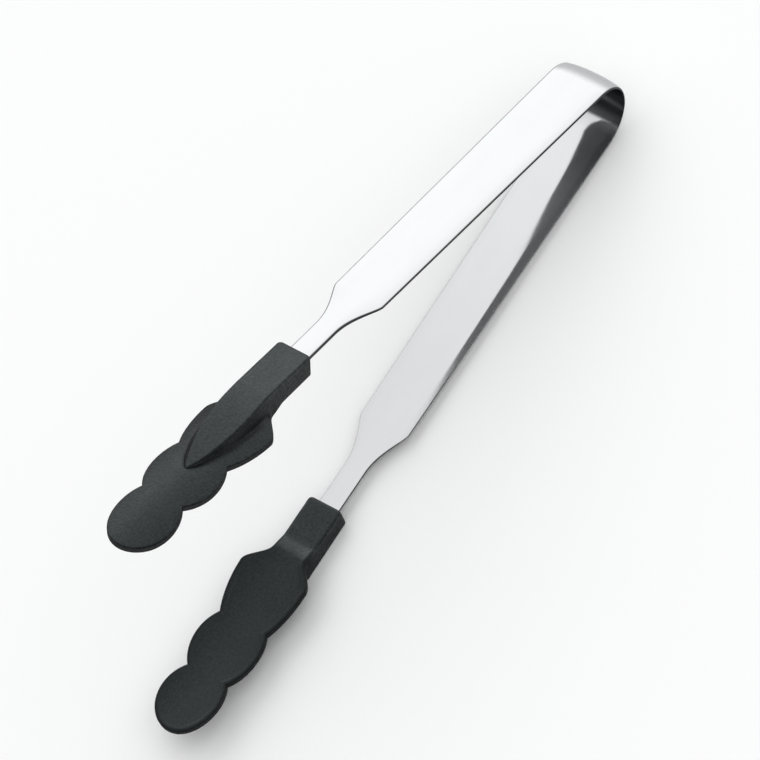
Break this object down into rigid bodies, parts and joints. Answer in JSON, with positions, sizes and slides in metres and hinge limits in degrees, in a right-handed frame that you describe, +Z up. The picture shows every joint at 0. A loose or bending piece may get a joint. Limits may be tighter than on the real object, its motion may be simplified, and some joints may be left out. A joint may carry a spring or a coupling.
{
  "type": "kitchen tongs",
  "caption": "Spring tongs: a bent strip of stainless steel whose flat arms narrow into the sockets of moulded nylon heads with lobed, spoon-shaped gripping plates.",
  "frame": {"origin": "centre of the footprint of the open tongs, at the plane that they lie on", "axes": "+X from the bow to the heads, +Y across the strip, +Z up; the tongs lie on the bow and on the lower socket, with the upper arm raised"},
  "size_m": [0.24, 0.024, 0.1085],
  "materials": {
    "stainless_steel": "bright, nearly mirror-polished stainless steel with clean broken edges",
    "nylon": "charcoal nylon with a fine matte grain"
  },
  "bodies": {
    "bow": {"spring_bow": "stainless_steel"},
    "upper_side": {"upper_arm": "stainless_steel", "upper_head": "nylon"},
    "lower_side": {"lower_arm": "stainless_steel", "lower_head": "nylon"}
  },
  "joints": [
    {"name": "upper_arm_flex", "type": "hinge", "parent": "bow", "child": "upper_side", "pos_m": [-0.11197, 0, 0.02407], "axis": [0, 1, 0], "range_deg": [0, 12], "stiffness_Nm_per_rad": 6},
    {"name": "lower_arm_flex", "type": "hinge", "parent": "bow", "child": "lower_side", "pos_m": [-0.10691, 0, 0.00065], "axis": [0, -1, 0], "range_deg": [0, 12], "stiffness_Nm_per_rad": 6}
  ],
  "couplings": [
    {"joint": "lower_arm_flex", "follows": "upper_arm_flex", "ratio": 1}
  ]
}
